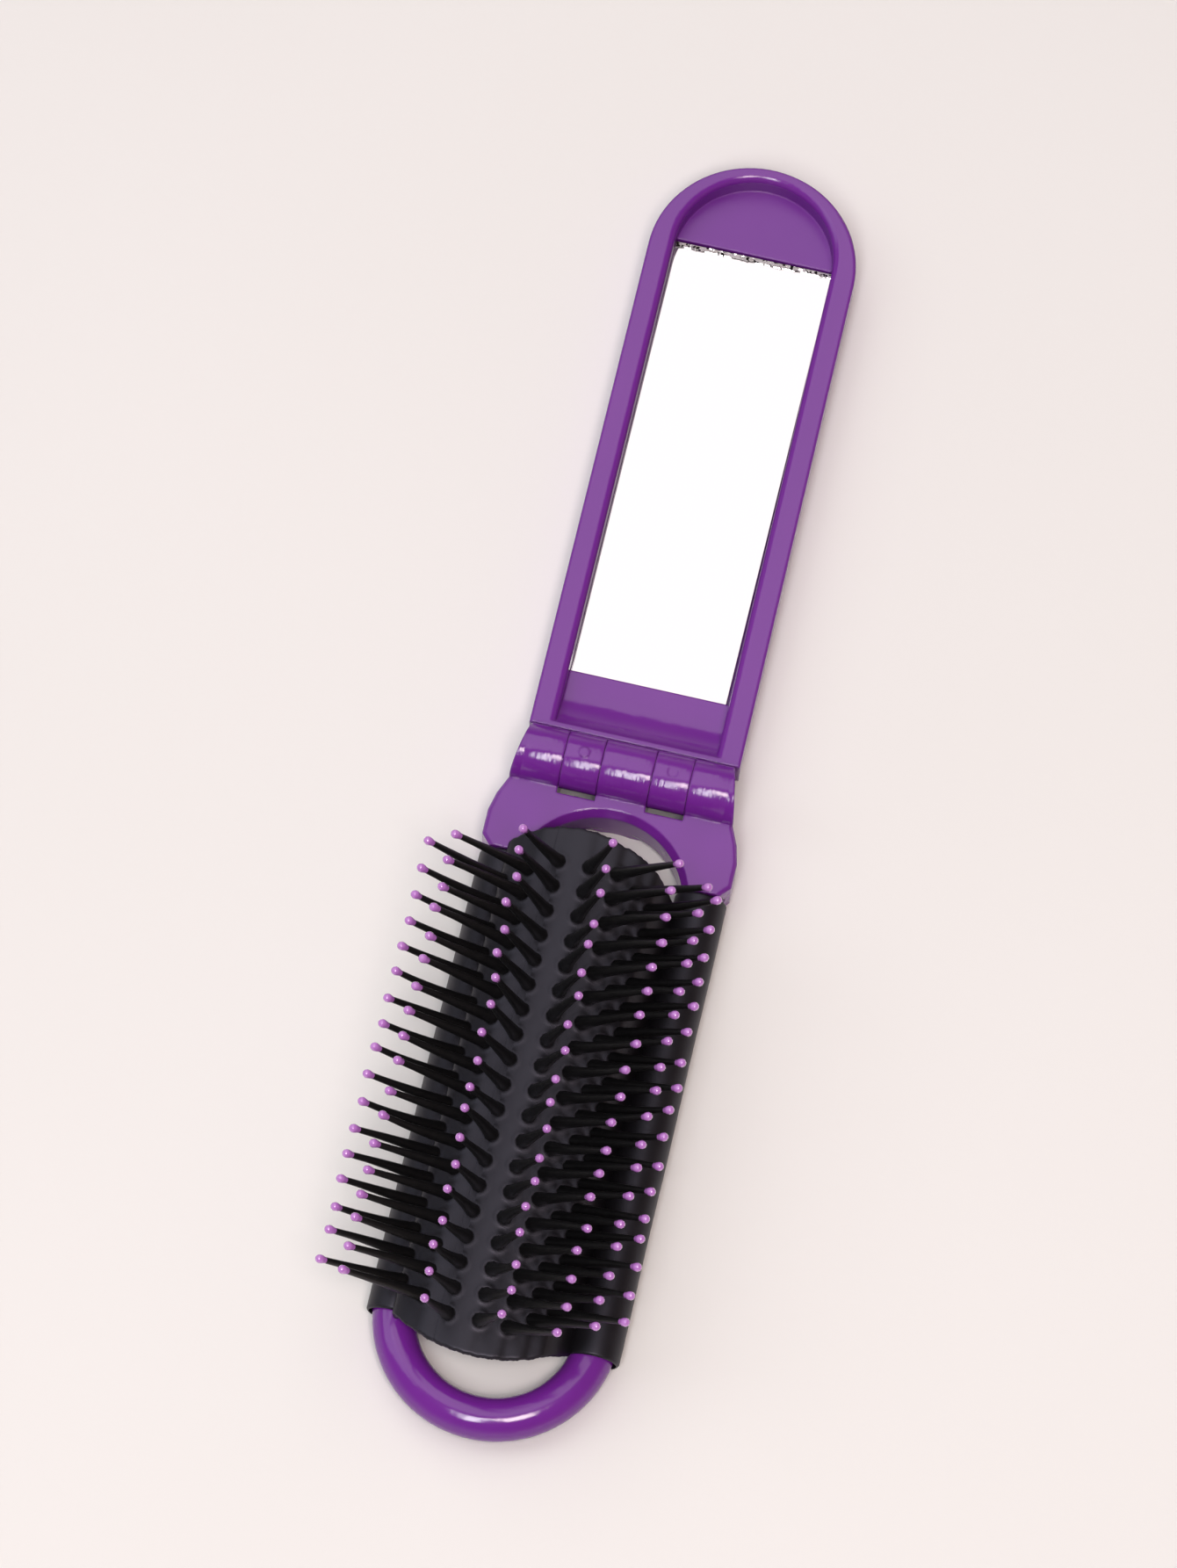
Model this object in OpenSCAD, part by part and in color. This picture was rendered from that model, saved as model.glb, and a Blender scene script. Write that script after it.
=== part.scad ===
// Folding hairbrush with a mirror in its lid, opened flat.
// Millimetres. +Z is up, towards the bristles. +Y runs from the hinge to the
// round end of the lid, -Y to the hanging loop. The origin is on the resting
// plane, straight below the middle of the hinge pin.

/* [Lid] */
// Width of the lid over its side walls
lid_w = 34; // [33:0.5:36]
// Length of the lid from its hinge wall to the round end
lid_len = 101.8; // [99:0.2:106]
// Thickness of the closed half: lid and yoke are the same
half_t = 8.6; // [8.4:0.1:9.4]
// Width of the rim along both sides of the recess
rim_w = 4; // [3.8:0.1:4.3]
// Depth of the recess below the rim
recess_d = 4.2; // [4.1:0.1:4.4]
// Rounding of the lid's back edges
back_round = 2.4; // [1.5:0.1:2.8]

/* [Mirror] */
// Gap between the mirror glass and the walls of its pocket
mirror_gap = 0.1; // [0.05:0.05:0.3]
// Length of the mirror glass
mirror_len = 76.6; // [74:0.2:78]
// Thickness of the mirror glass
mirror_t = 1.2; // [1:0.1:1.4]
// Thickness of the foam tape behind the mirror
tape_t = 0.4; // [0.3:0.1:0.6]

/* [Hinge] */
// Radius of the hinge barrel
barrel_r = 4.6; // [4.2:0.1:4.8]
// Length of the hinge barrel on its side towards the lid
barrel_len = 32.4; // [31:0.2:33]
// How much farther each end of the barrel stands out on the side towards the pad
barrel_flare = 1.8; // [1:0.1:2]
// Width of the middle knuckle of the yoke
mid_knuckle_w = 8.1; // [7:0.1:9]
// Width of each lid knuckle
lid_knuckle_w = 6.1; // [5.5:0.1:6.5]
// Radius of the steel hinge pin
pin_r = 1.2; // [1:0.1:1.5]
// Radial running clearance of the pin in the lid knuckles
pin_clearance = 0.05; // [0.03:0.01:0.08]
// Sideways gap between two knuckles
knuckle_gap = 0.14; // [0.1:0.01:0.25]

/* [Yoke] */
// Width of the yoke over its legs
yoke_w = 40; // [39.5:0.1:41]
// Distance from the hinge axis to the ends of the legs
yoke_len = 16.3; // [16:0.1:16.8]
// Radius of the round cut-out that clears the pad
arc_r = 13.2; // [12.8:0.1:13.4]
// Chamfer along the top and bottom edges of the yoke
yoke_chamfer = 0.5; // [0.3:0.1:0.7]

/* [Loop] */
// Radius of the bent rod
rod_r = 3.4; // [3.2:0.1:3.45]
// Half the distance between the two straight legs of the rod
rod_x = 15.7; // [15.5:0.1:15.8]
// Distance from the far end of the pad to the outside of the loop
loop_room = 10.45; // [10.1:0.05:11.5]

/* [Pad] */
// Outer radius of the rubber sleeves around the rod
sleeve_r = 4.2; // [4.05:0.05:4.2]
// Distance the sleeves reach past the start of the rod's bend
sleeve_past_bend = 3.1; // [1.5:0.1:3.1]
// Thickness of the arched rubber web
web_t = 1.3; // [1.1:0.1:1.4]

/* [Bristles] */
// Length of a bristle from the pad to the middle of its ball tip
bristle_len = 17; // [16:0.1:17.2]
// Radius of a bristle near its tip
bristle_r = 0.41; // [0.35:0.01:0.45]
// Radius of the ball tips
tip_r = 0.8; // [0.72:0.01:0.88]
// Spacing of the bristles along a column, at the pad
base_pitch = 4.12; // [4.1:0.01:4.15]
// How much wider that spacing is at the tips
tip_spread = 0.085; // [0.05:0.005:0.1]

/* [Hidden] */
$fn = 64;
eps = 0.01;
// Gap left between the closed halves, shared by both faces
closing_gap = 0.1;
face_z = half_t - closing_gap / 2;
axis_z = half_t;
// Lid
hinge_wall_y = 5.0;
lid_r = lid_w / 2;
lid_arc_y = hinge_wall_y + lid_len - lid_r;
recess_hw = lid_r - rim_w;
floor_z = face_z - recess_d;
outer_round = 0.4;
inner_round = 1.1;
// The recess reaches a little farther out at the round end, where the rim is narrower
recess_arc_y = lid_arc_y + 1.8;
lip_w = 0.9;
lip_drop = 0.3;
ramp_end_y = 14.6;
ramp_run = ramp_end_y - hinge_wall_y - lip_w;
ramp_rise = recess_d - lip_drop;
ramp_r = (ramp_run * ramp_run + ramp_rise * ramp_rise) / (2 * ramp_rise);
// Mirror
mirror_low_y = 16.4;
mirror_w = 2 * (recess_hw - mirror_gap);
mirror_drop = 1.0;
pocket_z = floor_z - mirror_drop - mirror_t - tape_t;
tape_inset = 1.5;
seat_gap = 0.02;
// Hinge
pin_seat_r = pin_r + 0.02;
pin_half = barrel_len / 2 - 1;
arm_drop = 0.3;
mark_r = 0.85;
mark_y = 0.3;
mark_h = 0.12;
mid_x = mid_knuckle_w / 2;
outer_x = mid_x + lid_knuckle_w;
slot_y = barrel_r + 1.0;
// Yoke
arc_y = -20.6;
arc_bevel = 1.0;
arc_bevel_h = 1.4;
belly_z = 1.8;
knuckle_foot_y = 2.0;
yoke_hw = yoke_w / 2;
yoke_side = [
    [barrel_len / 2, barrel_r], [barrel_len / 2 + barrel_flare, -barrel_r],
    [yoke_hw - 0.7, -7.6], [yoke_hw, -10.6], [yoke_hw, -yoke_len + 1.7],
    [yoke_hw - 1.5, -yoke_len]
];
// Rod
rod_z = 4.25;
rod_top_y = -12.3;
rod_fit = 0.03;
// Bristles
column_x = [-15.0, -11.25, -6.95, -2.05, 2.4, 5.9, 8.6];
column_rise = [1.9, 4.1, 5.0, 5.2, 4.8, 4.2, 3.4];
// Each column fans a little: the lean of its first pin and of its last pin
lean_near = [-43.2, -42.7, -17.8, 11.9, 34.8, 40.3, 37.3];
lean_far = [-45.3, -45.6, -9.4, 14.3, 30.1, 36.6, 41.4];
column_lean = (lean_near + lean_far) / 2;
column_pins = [17, 18, 19, 19, 19, 18, 17];
column_shift = [1, 0.5, 0, 0, 0, 0.5, 1];
first_base_y = -18.2;
first_tip_y = -19.1;
boot_r = 0.98;
boot_h = 0.5;
boot_gap = 0.03;
// The shaft thins in steps from its boot to its free part at thin_z
shaft_r = 0.8;
shaft_z = 1.3;
neck_r = 0.62;
neck_z = 5;
slim_r = 0.5;
slim_z = 8.6;
thin_z = 12.4;
tip_seat = 0.25;
// Pad
// Both ends are bowed: the middle and the radius of each end's arc
near_bow_x = -4;
near_bow_r = 22;
far_bow_x = -1.9;
far_bow_r = 23;
web_near_y = first_base_y + 6.15;
web_far_y = first_base_y - base_pitch * (max(column_pins) - 1) - 5.65;
web_lift = 0.15;
bend_y = web_far_y - loop_room + rod_r + rod_x;
sleeve_fit = 0.05;
sleeve_top = yoke_len + 0.15;
sleeve_end = sleeve_past_bend - bend_y;
// The bore opens a little where the rod starts to bend inside the sleeve
relief_r = rod_r + 0.4;
relief_len = 4.9;
seam = 0.05;
web_seam_r = sleeve_r + seam;
land_hw = 1.15;
land_under_hw = 0.7;
anchor_r = 3;

// A 2D profile in X and Z, drawn out along Y from y0 to y1
module along_y(y0, y1) {
    translate([0, y1, 0]) rotate([90, 0, 0]) linear_extrude(height = y1 - y0) children();
}

// Right half of the lid's outer cross-section
module lid_half_profile() {
    difference() {
        square([lid_r, face_z]);
        translate([lid_r - back_round, -1]) square([back_round + 1, back_round + 1]);
        translate([lid_r - outer_round, face_z - outer_round]) square(outer_round + 1);
    }
    translate([lid_r - back_round, back_round]) circle(r = back_round);
    translate([lid_r - outer_round, face_z - outer_round]) circle(r = outer_round);
}

// Right half of the recess's cross-section, with its rounded mouth
module recess_half_profile() {
    translate([0, floor_z]) square([recess_hw, recess_d + 1]);
    difference() {
        translate([0, face_z - inner_round]) square([recess_hw + inner_round, inner_round + 1]);
        translate([recess_hw + inner_round, face_z - inner_round]) circle(r = inner_round);
    }
}

module both_halves() {
    children();
    mirror([1, 0]) children();
}

module lid_outer() {
    difference() {
        union() {
            along_y(hinge_wall_y, lid_arc_y) both_halves() lid_half_profile();
            translate([0, lid_arc_y, 0]) rotate_extrude(angle = 180) lid_half_profile();
        }
        // rounded back edge at the hinge end
        difference() {
            translate([-lid_w, hinge_wall_y - 1, -1]) cube([2 * lid_w, back_round + 1, back_round + 1]);
            translate([-lid_w - 1, hinge_wall_y + back_round, back_round])
                rotate([0, 90, 0]) cylinder(r = back_round, h = 2 * lid_w + 2);
        }
    }
}

module lid_recess() {
    along_y(ramp_end_y - eps, recess_arc_y) both_halves() recess_half_profile();
    translate([0, recess_arc_y, 0]) rotate_extrude(angle = 180) recess_half_profile();
    // hollow ramp between the floor and the thin lip
    intersection() {
        along_y(hinge_wall_y + lip_w, ramp_end_y) both_halves() recess_half_profile();
        union() {
            translate([-lid_w, ramp_end_y, floor_z + ramp_r])
                rotate([0, 90, 0]) cylinder(r = ramp_r, h = 2 * lid_w);
            translate([-lid_w, hinge_wall_y, floor_z + ramp_r]) cube([2 * lid_w, ramp_end_y, half_t]);
        }
    }
}

module lid_knuckle(side) {
    x0 = mid_x + knuckle_gap / 2;
    w = lid_knuckle_w - knuckle_gap;
    translate([side > 0 ? x0 : -x0 - w, 0, 0]) {
        translate([0, 0, axis_z]) rotate([0, 90, 0]) cylinder(r = barrel_r, h = w);
        translate([0, 0, axis_z - barrel_r])
            cube([w, hinge_wall_y + 0.5, barrel_r - arm_drop]);
    }
}

module lid_shell() {
    color("#8E55A8") difference() {
        union() {
            difference() {
                lid_outer();
                lid_recess();
                translate([-recess_hw, mirror_low_y - mirror_gap, pocket_z])
                    cube([2 * recess_hw, mirror_len + 2 * mirror_gap, floor_z - pocket_z + eps]);
            }
            for (side = [-1, 1]) lid_knuckle(side);
            translate([-mid_x - lid_knuckle_w / 2, mark_y, axis_z])
                cylinder(r = mark_r, h = barrel_r + mark_h);
        }
        translate([mid_x + lid_knuckle_w / 2, mark_y, axis_z + barrel_r - mark_h])
            cylinder(r = mark_r, h = 1);
        translate([-lid_w, 0, axis_z]) rotate([0, 90, 0])
            cylinder(r = pin_r + pin_clearance, h = 2 * lid_w);
    }
}

module mirror_glass() {
    color("#C9CDD2") translate([-mirror_w / 2, mirror_low_y, pocket_z + tape_t])
        cube([mirror_w, mirror_len, mirror_t]);
}

module mirror_tape() {
    color("#3A3033") translate([-mirror_w / 2 + tape_inset, mirror_low_y + tape_inset, pocket_z])
        cube([mirror_w - 2 * tape_inset, mirror_len - 2 * tape_inset, tape_t]);
}

module hinge_pin() {
    color("#B9BBBD") translate([-pin_half, 0, axis_z]) rotate([0, 90, 0])
        cylinder(r = pin_r, h = 2 * pin_half);
}

module yoke_plan() {
    n = len(yoke_side);
    polygon(concat(yoke_side, [for (i = [n - 1:-1:0]) [-yoke_side[i][0], yoke_side[i][1]]]));
}

// Cuts a 45 degree chamfer along the edge from p to q at height z
module edge_cut(p, q, z) {
    d = q - p;
    translate([p[0], p[1], z]) rotate([0, 0, atan2(d[1], d[0])]) rotate([45, 0, 0])
        translate([-1, -yoke_chamfer / sqrt(2), -yoke_chamfer / sqrt(2)])
            cube([norm(d) + 2, sqrt(2) * yoke_chamfer, sqrt(2) * yoke_chamfer]);
}

module yoke_block() {
    difference() {
        linear_extrude(height = face_z) yoke_plan();
        for (side = [-1, 1], i = [1:len(yoke_side) - 2], z = [0, face_z])
            edge_cut([side * yoke_side[i][0], yoke_side[i][1]],
                [side * yoke_side[i + 1][0], yoke_side[i + 1][1]], z);
        // everything on the lid's side of the barrel is cleared away
        translate([-yoke_w, knuckle_foot_y, -1]) cube([2 * yoke_w, 2 * half_t, 2 * half_t]);
        // room for the lid knuckles
        for (side = [-1, 1]) translate([side * (mid_x + lid_knuckle_w / 2), 0, 0])
            translate([-lid_knuckle_w / 2, -slot_y, -1]) cube([lid_knuckle_w, 2 * half_t, 2 * half_t]);
        // round cut-out with its bevelled mouth
        translate([0, arc_y, -1]) cylinder(r = arc_r, h = 2 * half_t, $fn = 128);
        translate([0, arc_y, face_z - arc_bevel_h])
            cylinder(r1 = arc_r, r2 = arc_r + arc_bevel, h = arc_bevel_h + eps, $fn = 128);
        // hollow underside between the legs
        translate([-arc_r, -yoke_len - 1, -1]) cube([2 * arc_r, yoke_len - slot_y - 1, belly_z + 1]);
    }
}

module yoke_knuckle(x0, x1) {
    translate([x0, 0, axis_z]) rotate([0, 90, 0]) cylinder(r = barrel_r, h = x1 - x0);
}

module yoke() {
    end_x = barrel_len / 2;
    far_x = end_x + barrel_flare;
    color("#8E55A8") difference() {
        union() {
            yoke_block();
            yoke_knuckle(-mid_x, mid_x);
            // the outer knuckles end flush with the yoke's flared sides
            intersection() {
                union() {
                    yoke_knuckle(-far_x, -outer_x);
                    yoke_knuckle(outer_x, far_x);
                }
                linear_extrude(height = 2 * half_t) yoke_plan();
            }
        }
        translate([-end_x + 1 - seat_gap, 0, axis_z]) rotate([0, 90, 0])
            cylinder(r = pin_seat_r, h = barrel_len + barrel_flare);
        for (side = [-1, 1]) translate([side * rod_x, rod_top_y + rod_fit, rod_z])
            rotate([90, 0, 0]) cylinder(r = rod_r + rod_fit, h = yoke_len);
    }
}

module loop_rod() {
    color("#8E55A8") union() {
        for (side = [-1, 1]) translate([side * rod_x, rod_top_y, rod_z]) rotate([90, 0, 0])
            cylinder(r = rod_r, h = -bend_y + rod_top_y, $fn = 48);
        translate([0, bend_y, rod_z]) rotate([0, 0, -180]) rotate_extrude(angle = 180, $fn = 96)
            translate([rod_x, 0]) circle(r = rod_r, $fn = 48);
    }
}

module pad_sleeve(side) {
    color("#242226") translate([side * rod_x, -sleeve_top, rod_z]) rotate([90, 0, 0])
        difference() {
            cylinder(r = sleeve_r, h = sleeve_end - sleeve_top);
            translate([0, 0, -1]) cylinder(r = rod_r + sleeve_fit, h = sleeve_end);
            translate([0, 0, sleeve_end - sleeve_top - relief_len])
                cylinder(r = relief_r, h = relief_len + 1);
        }
}

// Point on the web: column k, distance s along the surface, depth d below it
function web_point(k, s, d) = [
    column_x[k] + s * cos(column_lean[k]) - d * sin(column_lean[k]),
    face_z + column_rise[k] - s * sin(column_lean[k]) - d * cos(column_lean[k])
];

function anchor(side, angle) = [side * rod_x + anchor_r * cos(angle), rod_z + anchor_r * sin(angle)];

module web_profile() {
    last = len(column_x) - 1;
    top = [for (k = [0:last], s = [-land_hw, land_hw]) web_point(k, s, 0)];
    under = [for (k = [last:-1:0], s = [land_under_hw, -land_under_hw]) web_point(k, s, web_t)];
    difference() {
        polygon(concat([anchor(-1, 79)], top, [anchor(1, 150), anchor(1, 168)], under, [anchor(-1, 56)]));
        for (side = [-1, 1]) translate([side * rod_x, rod_z]) circle(r = web_seam_r);
    }
}

module web_plan() {
    near_mid = web_near_y - near_bow_r;
    far_mid = web_far_y + far_bow_r;
    translate([near_bow_x, near_mid]) circle(r = near_bow_r, $fn = 128);
    translate([far_bow_x, far_mid]) circle(r = far_bow_r, $fn = 128);
    translate([-rod_x - 2, far_mid]) square([2 * rod_x + 4, near_mid - far_mid]);
}

module pad_web() {
    color("#242226") difference() {
        intersection() {
            along_y(web_far_y - 1, web_near_y + 1) web_profile();
            linear_extrude(height = 4 * half_t) web_plan();
        }
        // the part that overhangs the yoke stays just clear of its top
        translate([-yoke_w, -sleeve_top, -1]) cube([2 * yoke_w, yoke_len, face_z + web_lift + 1]);
    }
}

// Tilt along the column of pin i of column k, in degrees
function pin_tilt(k, i) =
    asin((first_base_y - first_tip_y + tip_spread * (i + column_shift[k])) / bristle_len);

// Sideways lean of pin i of column k, in degrees
function pin_lean(k, i) =
    lean_near[k] + (lean_far[k] - lean_near[k]) * i / (column_pins[k] - 1);

// Puts its children at pin i of column k, with Z along the bristle
module at_pin(k, i) {
    base_y = first_base_y - base_pitch * (i + column_shift[k]);
    translate([column_x[k], base_y, face_z + column_rise[k]])
        rotate([0, pin_lean(k, i), 0]) rotate([pin_tilt(k, i), 0, 0]) children();
}

module bristle_column(k) {
    color("#1E1C1F") for (i = [0:column_pins[k] - 1]) {
        // the tilted foot stops just short of the rubber on its low side
        foot = boot_gap + boot_r * (sin(pin_tilt(k, i)) + sin(abs(pin_lean(k, i) - column_lean[k])));
        at_pin(k, i) rotate_extrude($fn = 24) polygon([
            [0, foot], [boot_r, foot], [boot_r, boot_h], [shaft_r, shaft_z], [neck_r, neck_z],
            [slim_r, slim_z], [bristle_r, thin_z], [bristle_r, bristle_len - tip_seat],
            [0, bristle_len - tip_seat]
        ]);
    }
}

module tip_column(k) {
    color("#B96BD0") for (i = [0:column_pins[k] - 1]) at_pin(k, i)
        translate([0, 0, bristle_len]) difference() {
            sphere(r = tip_r, $fn = 32);
            translate([0, 0, -1 - tip_seat + seat_gap]) cylinder(r = bristle_r + seat_gap, h = 1, $fn = 24);
        }
}

yoke();
hinge_pin();
loop_rod();
lid_shell();
mirror_glass();
mirror_tape();
pad_sleeve(-1);  // pad_sleeve_left
pad_sleeve(1);  // pad_sleeve_right
pad_web();
bristle_column(0);  // bristles_a
bristle_column(1);  // bristles_b
bristle_column(2);  // bristles_c
bristle_column(3);  // bristles_d
bristle_column(4);  // bristles_e
bristle_column(5);  // bristles_f
bristle_column(6);  // bristles_g
tip_column(0);  // tips_a
tip_column(1);  // tips_b
tip_column(2);  // tips_c
tip_column(3);  // tips_d
tip_column(4);  // tips_e
tip_column(5);  // tips_f
tip_column(6);  // tips_g
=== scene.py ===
import bpy
import numpy as np
from mathutils import Matrix


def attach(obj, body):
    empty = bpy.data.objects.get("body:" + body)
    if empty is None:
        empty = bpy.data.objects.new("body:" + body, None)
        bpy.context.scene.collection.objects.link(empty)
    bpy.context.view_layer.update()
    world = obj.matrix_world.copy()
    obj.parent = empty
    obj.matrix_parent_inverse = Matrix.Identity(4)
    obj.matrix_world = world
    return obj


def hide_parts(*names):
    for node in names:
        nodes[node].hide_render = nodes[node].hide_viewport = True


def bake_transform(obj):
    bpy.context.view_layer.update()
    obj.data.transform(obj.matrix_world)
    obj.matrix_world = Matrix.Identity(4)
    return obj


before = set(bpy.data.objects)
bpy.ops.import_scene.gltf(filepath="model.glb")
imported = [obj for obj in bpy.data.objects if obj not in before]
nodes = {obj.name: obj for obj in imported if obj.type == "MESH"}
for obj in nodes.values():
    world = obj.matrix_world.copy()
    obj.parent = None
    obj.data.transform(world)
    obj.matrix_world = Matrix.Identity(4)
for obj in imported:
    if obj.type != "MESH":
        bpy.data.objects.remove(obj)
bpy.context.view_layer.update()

# ---------------------------------------------------------------------------
# Studio camera
# A long lens on a stand, in front of the brush and to its right, looking
# steeply down at it.
camera_right = (0.97425, 0.22491, 0.01611)
camera_up = (-0.2178, 0.92011, 0.32553)
camera_back = (0.05839, -0.32065, 0.9454)
camera_place = (0.0508, -0.31265, 0.9212)
camera_data = bpy.data.cameras.new("studio_camera")
camera_data.sensor_fit = "AUTO"
camera_data.sensor_width = 36
camera_data.lens = 141.18
camera = bpy.data.objects.new("studio_camera", camera_data)
bpy.context.scene.collection.objects.link(camera)
turned = Matrix((camera_right, camera_up, camera_back)).transposed().to_4x4()
camera.matrix_world = Matrix.Translation(camera_place) @ turned
bpy.context.scene.camera = camera


# ---------------------------------------------------------------------------
# Table and studio light
# A sheet of warm white coated paper under four softboxes. The overhead panel
# fills the mirror, so the mirror looks almost empty.
def linear(code):
    """Linear colour of an sRGB hex code: each channel c is ((c + 0.055) / 1.055) to the power
    2.4, or c / 12.92 where c is under 0.04045."""
    c = np.array([int(code[i:i + 2], 16) for i in (0, 2, 4)]) / 255
    c = np.where(c > 0.04045, ((c + 0.055) / 1.055) ** 2.4, c / 12.92)
    return (*c.tolist(), 1.0)


def add_node(tree, kind, feeds=None, **settings):
    """Adds one shader node. Its settings are properties; feeds gives each input a value, or the
    output socket that runs into it."""
    made = tree.nodes.new("ShaderNode" + kind)
    for name, value in settings.items():
        setattr(made, name, value)
    for socket, value in (feeds or {}).items():
        if isinstance(value, bpy.types.NodeSocket):
            tree.links.new(value, made.inputs[socket])
        else:
            made.inputs[socket].default_value = value
    return made


def start_material(name):
    """An empty material, with its node tree and the point that its patterns are drawn from."""
    material = bpy.data.materials.new(name)
    material.use_nodes = True
    material.node_tree.nodes.clear()
    place = add_node(material.node_tree, "TexCoord").outputs["Object"]
    return material, material.node_tree, place


def end_material(tree, feeds):
    """Joins the finished feeds to the one surface shader, and that to the output."""
    shader = add_node(tree, "BsdfPrincipled", feeds)
    add_node(tree, "OutputMaterial", {"Surface": shader.outputs["BSDF"]})


# Coated paper is matt, with a fibre grain about 1 mm long that is barely seen
paper_size = 3.0
paper, tree, place = start_material("warm_white_coated_paper")
fibre = add_node(tree, "TexNoise", {"Vector": place, "Scale": 900.0, "Detail": 3.0})
cloud = add_node(tree, "TexNoise", {"Vector": place, "Scale": 9.0, "Detail": 1.0})
tint = add_node(tree, "Mix", {"Factor": cloud.outputs["Fac"], 6: linear("E4E2E0"),
                              7: linear("E8E6E5")}, data_type="RGBA")
grain = add_node(tree, "Bump", {"Height": fibre.outputs["Fac"], "Strength": 0.12,
                                "Distance": 0.0001})
end_material(tree, {"Base Color": tint.outputs[2], "Roughness": 0.62,
                    "Normal": grain.outputs["Normal"]})
paper_mesh = bpy.data.meshes.new("table_paper")
paper_mesh.from_pydata([(x * paper_size, y * paper_size, 0) for x, y in
                        ((-1, -1), (1, -1), (1, 1), (-1, 1))], [], [(0, 1, 2, 3)])
paper_mesh.materials.append(paper)
table = bpy.data.objects.new("table_paper", paper_mesh)
bpy.context.scene.collection.objects.link(table)

# the room is light low down, dim higher up, and warm on the side away from the window
room = bpy.data.worlds.new("white_studio")
room.use_nodes = True
tree = room.node_tree
tree.nodes.clear()
way_out = add_node(tree, "TexCoord").outputs["Generated"]
facing = add_node(tree, "SeparateXYZ", {"Vector": way_out})
warm_side = add_node(tree, "MapRange", {"Value": facing.outputs["X"], "From Min": -0.2,
                                        "From Max": 0.6},
                     interpolation_type="SMOOTHSTEP").outputs["Result"]
low_down = add_node(tree, "MapRange", {"Value": facing.outputs["Z"], "From Min": 0.0,
                                       "From Max": 0.45, "To Min": 0.6, "To Max": 0.2},
                    interpolation_type="SMOOTHSTEP").outputs["Result"]
wall = add_node(tree, "Mix", {"Factor": warm_side, 6: linear("FFFAF8"),
                              7: linear("EFD2C4")}, data_type="RGBA")
glow = add_node(tree, "Background", {"Color": wall.outputs[2], "Strength": low_down})
add_node(tree, "OutputWorld", {"Surface": glow.outputs["Background"]})
bpy.context.scene.world = room
bpy.context.scene.view_settings.view_transform = "Standard"


def softbox(name, place, aim, width, height, power, shade):
    """A rectangular studio light at place that faces aim, both in metres."""
    data = bpy.data.lights.new(name, "AREA")
    data.shape = "RECTANGLE"
    data.size, data.size_y = width, height
    data.energy = power
    data.color = linear(shade)[:3]
    lamp = bpy.data.objects.new(name, data)
    bpy.context.scene.collection.objects.link(lamp)
    way = np.array(aim) - np.array(place)
    back = -way / np.linalg.norm(way)
    side = np.cross((0.0, 0.0, 1.0), back)
    side = side / np.linalg.norm(side)
    up = np.cross(back, side)
    turn = Matrix((side, up, back)).transposed().to_4x4()
    lamp.matrix_world = Matrix.Translation(place) @ turn


softbox("overhead_panel", (-0.30, 0.84, 1.79), (0, 0, 0), 1.45, 2.1, 13.6, "FFFBFC")
softbox("window_panel", (-1.3, -0.04, 1.52), (0, 0, 0), 0.95, 1.6, 6.6, "F4FAFF")
softbox("main_softbox", (0.231, -0.44, 1.34), (0, -0.08, 0), 0.24, 0.45, 7.4, "FFEFEA")
softbox("front_softbox", (-0.075, -0.62, 1.2), (0, 0, 0), 0.18, 0.58, 5.4, "FFFFFF")

# ---------------------------------------------------------------------------
# Yoke and hanging loop
# One moulding of glossy ABS dyed purple: the yoke holds the hinge, and the
# rod is bent into a U whose round end is the hanging loop.
purple, tree, place = start_material("moulded_gloss_purple_abs")
flow = add_node(tree, "TexNoise", {"Vector": place, "Scale": 45.0, "Detail": 2.0})
dye = add_node(tree, "Mix", {"Factor": flow.outputs["Fac"], 6: linear("68228A"),
                             7: linear("742893")}, data_type="RGBA")
# a polished mould still leaves a slight orange peel, about 2 mm across, and
# handling leaves hairline scratches about 0.2 mm apart. Its edges are rounded by half a millimetre
peel = add_node(tree, "TexNoise", {"Vector": place, "Scale": 420.0, "Detail": 1.0})
long_way = add_node(tree, "Mapping", {"Vector": place, "Scale": (1.0, 0.05, 1.0),
                                      "Rotation": (0.0, 0.0, 0.5)})
hairline = add_node(tree, "TexNoise", {"Vector": long_way.outputs["Vector"], "Scale": 4500.0,
                                       "Detail": 2.0})
worn_edge = add_node(tree, "Bevel", {"Radius": 0.0005}, samples=6)
peel_bump = add_node(tree, "Bump", {"Height": peel.outputs["Fac"], "Strength": 0.16,
                                    "Distance": 0.00025,
                                    "Normal": worn_edge.outputs["Normal"]})
scratch_bump = add_node(tree, "Bump", {"Height": hairline.outputs["Fac"], "Strength": 0.05,
                                       "Distance": 0.00005,
                                       "Normal": peel_bump.outputs["Normal"]})
# the barrel, whose middle is the hinge line, is rubbed in rings by the turning lid
hinge_z, barrel_r, past_barrel_r = 0.0086, 0.0047, 0.0052
from_hinge = add_node(tree, "VectorMath", {0: place, 1: (0.0, 1.0, 1.0),
                                           2: (0.0, 0.0, -hinge_z)},
                      operation="MULTIPLY_ADD").outputs["Vector"]
off_hinge = add_node(tree, "VectorMath", {0: from_hinge}, operation="LENGTH").outputs["Value"]
on_barrel = add_node(tree, "MapRange", {"Value": off_hinge, "From Min": barrel_r,
                                        "From Max": past_barrel_r, "To Min": 0.4,
                                        "To Max": 0.0})
ring_way = add_node(tree, "Mapping", {"Vector": place, "Scale": (1.0, 0.12, 0.12)})
rubbed = add_node(tree, "TexNoise", {"Vector": ring_way.outputs["Vector"], "Scale": 2600.0,
                                     "Detail": 3.0})
rubbed_bump = add_node(tree, "Bump", {"Height": rubbed.outputs["Fac"],
                                      "Strength": on_barrel.outputs["Result"],
                                      "Distance": 0.00008,
                                      "Normal": scratch_bump.outputs["Normal"]})
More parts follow.
